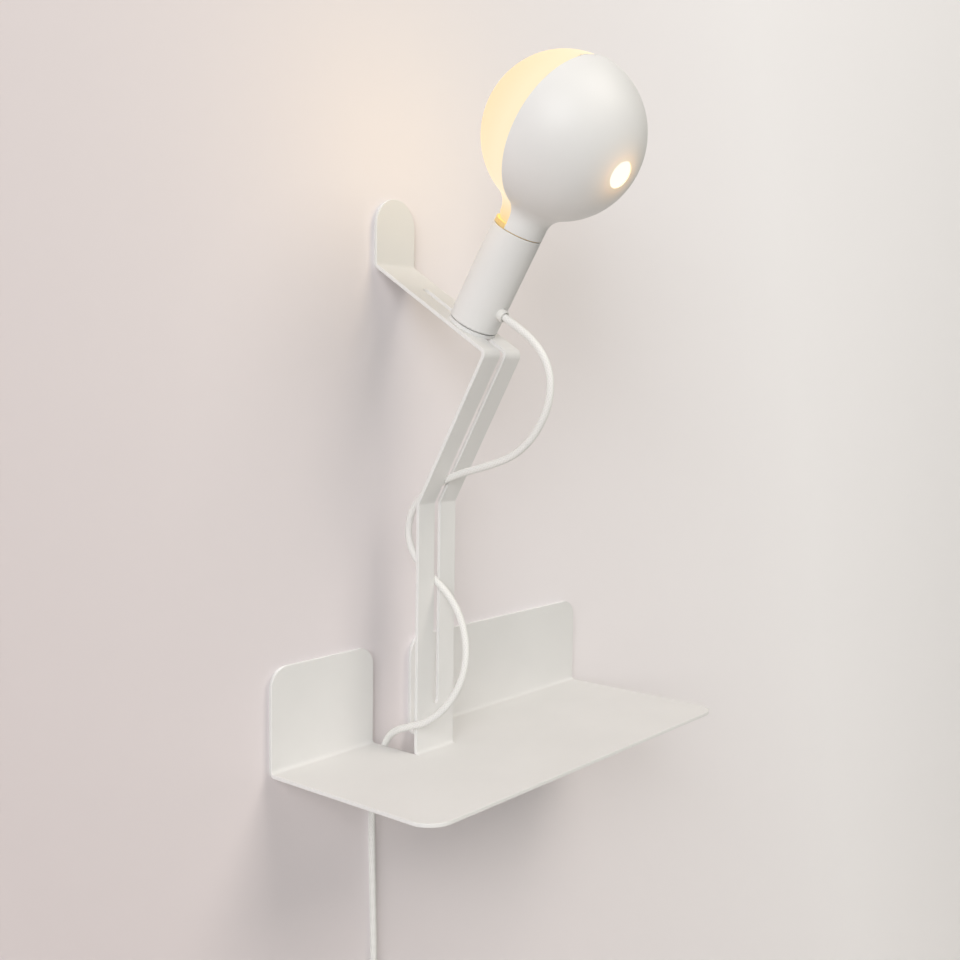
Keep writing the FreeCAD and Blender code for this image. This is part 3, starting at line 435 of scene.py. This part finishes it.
def coil_points():
    points = []
    here = Vector((COIL_LEFT, COIL_BACK, COIL_HEIGHT))
    radii = [OUTER_TURN - COIL_PITCH / 2 * k for k in range(HALF_TURNS)]
    radii += radii[-2:0:-1]
    for index, radius in enumerate(radii):
        way = 1 if index % 2 == 0 else -1
        climb = -COIL_PITCH if index == HALF_TURNS - 1 else 0.0
        there = here + Vector((way * 2 * radius, climb, 0))
        points += half_turn(here, there, below=way > 0)
        here = there
    return points, here


coil, coil_end = coil_points()
print("coil:", len(coil), "points, ends at", [round(v, 2) for v in coil_end])

# %% [markdown]
# ## Drawing the cord
# A curve with a round bevel is the plain way to draw a cord: Blender sweeps the circle along it and keeps its
# thickness in every bend. The bevel is one unit deep and each point's radius makes it 2.9 mm, so that the curve's
# own box is no larger than the cord. It stands for the three rigid pieces of cord in the CAD frame.

# %% Draw the cord
CORD_RADIUS = 0.0029                 # metres


def above_shelf(point):
    return Vector((point[0], point[1], point[2] + SHELF_TOP)) / 1000


def cord_curve(name, points, radius):
    data = bpy.data.curves.new(name, "CURVE")
    data.dimensions = "3D"
    data.bevel_depth = 1.0
    data.bevel_resolution = 5
    data.resolution_u = 6
    data.use_fill_caps = True
    spline = data.splines.new("NURBS")
    spline.points.add(len(points) - 1)
    for slot, point in zip(spline.points, points):
        slot.co = (*point, 1.0)
        slot.radius = radius
    spline.order_u = 3
    spline.use_endpoint_u = True
    spline.use_smooth = True
    piece = bpy.data.objects.new(name, data)
    bpy.context.scene.collection.objects.link(piece)
    return piece


exit_point = Vector(CORD_EXIT) / 1000
route = [exit_point, Vector(STRAIGHT_OUT) / 1000] + [above_shelf(p) for p in loops + hanging + coil]
route += [above_shelf(coil_end + Vector(p)) for p in tail]
cord = cord_curve("textile_cord", route, CORD_RADIUS)
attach(cord, "lamp")
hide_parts("mains_cord", "cord_coil", "cord_tail")
print("cord points:", len(route))

# %% [markdown]
# ## Woven cover of the cord
# The cover is braided from white yarns about 0.7 mm wide that cross at a slant. A curve's own UV runs along it and
# round it, so two slanted sine waves on that UV make the braid. It is drawn a little coarser than real so that it
# shows, and a faint sheen stands for the fuzz of the yarns.

# %% Textile finish
CORD_LENGTH = 2.06
BRAID_REPEAT = 0.0028                # metres along the cord
YARNS_ROUND = 8.0                    # that run each way
YARN_HEIGHT = 0.07                   # millimetres


def textile(name, dark, light):
    material, tree, shader = new_material(name, Roughness=0.85, Sheen_Weight=0.25, Sheen_Roughness=0.5)
    place = add_node(tree, "ShaderNodeTexCoord")
    parts = add_node(tree, "ShaderNodeSeparateXYZ", None, {"Vector": place.outputs["UV"]})
    rows = []
    for side in (1, -1):
        along = add_node(tree, "ShaderNodeMath", {1: CORD_LENGTH / BRAID_REPEAT}, {0: parts.outputs["X"]},
                         operation="MULTIPLY")
        around = add_node(tree, "ShaderNodeMath", {1: YARNS_ROUND * side},
                          {0: parts.outputs["Y"], 2: along.outputs[0]}, operation="MULTIPLY_ADD")
        turn = add_node(tree, "ShaderNodeMath", {1: 2 * math.pi}, {0: around.outputs[0]}, operation="MULTIPLY")
        rows.append(add_node(tree, "ShaderNodeMath", None, {0: turn.outputs[0]}, operation="SINE"))
    weave = add_node(tree, "ShaderNodeMath", None, {0: rows[0].outputs[0], 1: rows[1].outputs[0]},
                     operation="MAXIMUM")
    level = add_node(tree, "ShaderNodeMapRange", {"From Min": -1.0, "From Max": 1.0},
                     {"Value": weave.outputs[0]})
    dress(tree, shader, level, dark, light, level, YARN_HEIGHT, 0.0, 1.0)
    return material


white_textile = textile("white_braided_textile", "DCDBD8", "E7E6E4")
cord.data.materials.append(white_textile)
nodes["clamped_cord"].data.materials.clear()
nodes["clamped_cord"].data.materials.append(white_textile)
print("finish:", white_textile.name)

# %% [markdown]
# ## The room
# A painted wall stands right behind the lamp, because the lamp's glow and soft shadows fall on it, and a pale
# floor lies far below. Neither belongs to the lamp. Seen from behind, the wall lets the eye through, and light that
# meets it within 8 mm of a piece passes too, so that the backs of the flanges and hangers can be looked at.

# %% Wall and floor
WALL_FACE = 0.0004                   # just behind the lamp's back, so that they never share a plane
WALL_LEFT, WALL_RIGHT, WALL_TOP = -2.5, 4, 2.0
FLOOR_HEIGHT, FLOOR_REACH = -1.5, 2.5


def plane(name, corners):
    mesh = bmesh.new()
    mesh.faces.new([mesh.verts.new(corner) for corner in corners])
    data = bpy.data.meshes.new(name)
    mesh.to_mesh(data)
    mesh.free()
    piece = bpy.data.objects.new(name, data)
    bpy.context.scene.collection.objects.link(piece)
    return piece


wall = plane("room_wall", [(WALL_LEFT, WALL_FACE, FLOOR_HEIGHT), (WALL_RIGHT, WALL_FACE, FLOOR_HEIGHT),
                           (WALL_RIGHT, WALL_FACE, WALL_TOP), (WALL_LEFT, WALL_FACE, WALL_TOP)])
floor = plane("room_floor", [(x * FLOOR_REACH, y * FLOOR_REACH, FLOOR_HEIGHT)
                             for x, y in ((-1, -1), (1, -1), (1, 1), (-1, 1))])

# %% [markdown]
# ## Emulsion paint with painted light
# The wall is painted with matt emulsion from a roller, which leaves a low stipple about 3 mm wide. Its white is
# painted a little lighter from low on the left to high on the right, as the photo's wall does. That gradient is
# painted light, and the floor gets the same slight one.

# %% Paint of the wall and the floor
STIPPLE_SIZE, STIPPLE_HEIGHT = 3.0, 0.03
# The way and the range along it over which the white is painted lighter: painted light, not a change in the paint.
PAINTED_LIGHT_WAY = (0.27, 0.0, 0.09)
PAINTED_LIGHT_RANGE = (-0.13, 0.20)        # along that way
CLEAR_WITHIN = 0.008                 # light that starts this near to the wall passes it


# Paint whose colour is painted lighter along a slant across the surface, as painted light, under the roller's
# stipple.
def paint_with_painted_light(name, dark, light, one_sided):
    material, tree, shader = new_material(name, Roughness=0.9, IOR=1.4)
    place = add_node(tree, "ShaderNodeTexCoord")
    slant = add_node(tree, "ShaderNodeVectorMath", {1: PAINTED_LIGHT_WAY}, {0: place.outputs["Object"]},
                     operation="DOT_PRODUCT")
    level = add_node(tree, "ShaderNodeMapRange", {"From Min": PAINTED_LIGHT_RANGE[0], "From Max": PAINTED_LIGHT_RANGE[1]},
                     {"Value": slant.outputs["Value"]})
    dress(tree, shader, level, dark, light, grain(tree, STIPPLE_SIZE), STIPPLE_HEIGHT, 0.0, 1.0)
    if one_sided:
        side = add_node(tree, "ShaderNodeNewGeometry")
        ray = add_node(tree, "ShaderNodeLightPath")
        near = add_node(tree, "ShaderNodeMath", {1: CLEAR_WITHIN}, {0: ray.outputs["Ray Length"]},
                        operation="LESS_THAN")
        either = add_node(tree, "ShaderNodeMath", None, {0: side.outputs["Backfacing"], 1: near.outputs[0]},
                          operation="MAXIMUM")
        clear = add_node(tree, "ShaderNodeBsdfTransparent")
        mix = add_node(tree, "ShaderNodeMixShader", None,
                       {0: either.outputs[0], 1: shader.outputs[0], 2: clear.outputs[0]})
        tree.links.new(mix.outputs[0], tree.nodes["Material Output"].inputs["Surface"])
    return material


wall.data.materials.append(paint_with_painted_light("warm_white_wall_paint_with_painted_light", "DBD2D4", "FCFAFC", True))
floor.data.materials.append(paint_with_painted_light("pale_floor_paint_with_painted_light", "D8D4D0", "DEDAD6", False))
print("wall faces", [round(v, 2) for v in wall.data.polygons[0].normal])

# %% [markdown]
# ## Light
# Three soft sources light the lamp from the room. A square panel on the left gives every edge that faces left its
# brightness and the half shade its wide highlight. A second one, higher and in front, is a little warmer and gives
# the shelf its light, the upper highlight and the soft shadow under the shelf. A faint even sky fills what both
# leave dark. A panel behind the wall reaches only the backs that lie close to it.

# %% Studio light
LAMP_MIDDLE = Vector((0, -0.1, -0.1))
SKY_STRENGTH = 0.255


def panel(name, place, side, watts, colour="FFFFFF"):
    """A square panel that faces the lamp."""
    data = bpy.data.lights.new(name, "AREA")
    data.shape = "SQUARE"
    data.size = side
    data.energy = watts
    data.color = linear(colour)[:3]
    light = bpy.data.objects.new(name, data)
    way = (LAMP_MIDDLE - Vector(place)).to_track_quat("-Z", "Y")
    light.matrix_world = Matrix.Translation(place) @ way.to_matrix().to_4x4()
    bpy.context.scene.collection.objects.link(light)


def even_sky(name, colour, backdrop):
    """The same light from everywhere, which the eye sees as a plain pale backdrop."""
    world = bpy.data.worlds.new(name)
    world.use_nodes = True
    tree = world.node_tree
    ray = add_node(tree, "ShaderNodeLightPath")
    tint = add_node(tree, "ShaderNodeMix", {MIX_COLOUR_A: linear(colour), MIX_COLOUR_B: linear(backdrop)},
                    {"Factor": ray.outputs["Is Camera Ray"]}, data_type="RGBA")
    power = add_node(tree, "ShaderNodeMix", {MIX_A: SKY_STRENGTH, MIX_B: 1.0},
                     {"Factor": ray.outputs["Is Camera Ray"]})
    tree.links.new(tint.outputs["Result"], tree.nodes["Background"].inputs["Color"])
    tree.links.new(power.outputs[0], tree.nodes["Background"].inputs["Strength"])
    return world


panel("left_panel", place=(-4.14, -2.45, 1.45), side=2.5, watts=150)
panel("front_panel", place=(0.8, -3.6, 3.5), side=3.2, watts=130, colour="FFF6EB")
panel("rear_panel", place=(1.2, 4.2, 1.6), side=2.4, watts=130)
bpy.context.scene.world = even_sky("soft_room", "F8FFFA", "E3E0DD")
bpy.context.scene.view_settings.view_transform = "Standard"
print("lights:", [light.name for light in bpy.data.lights])
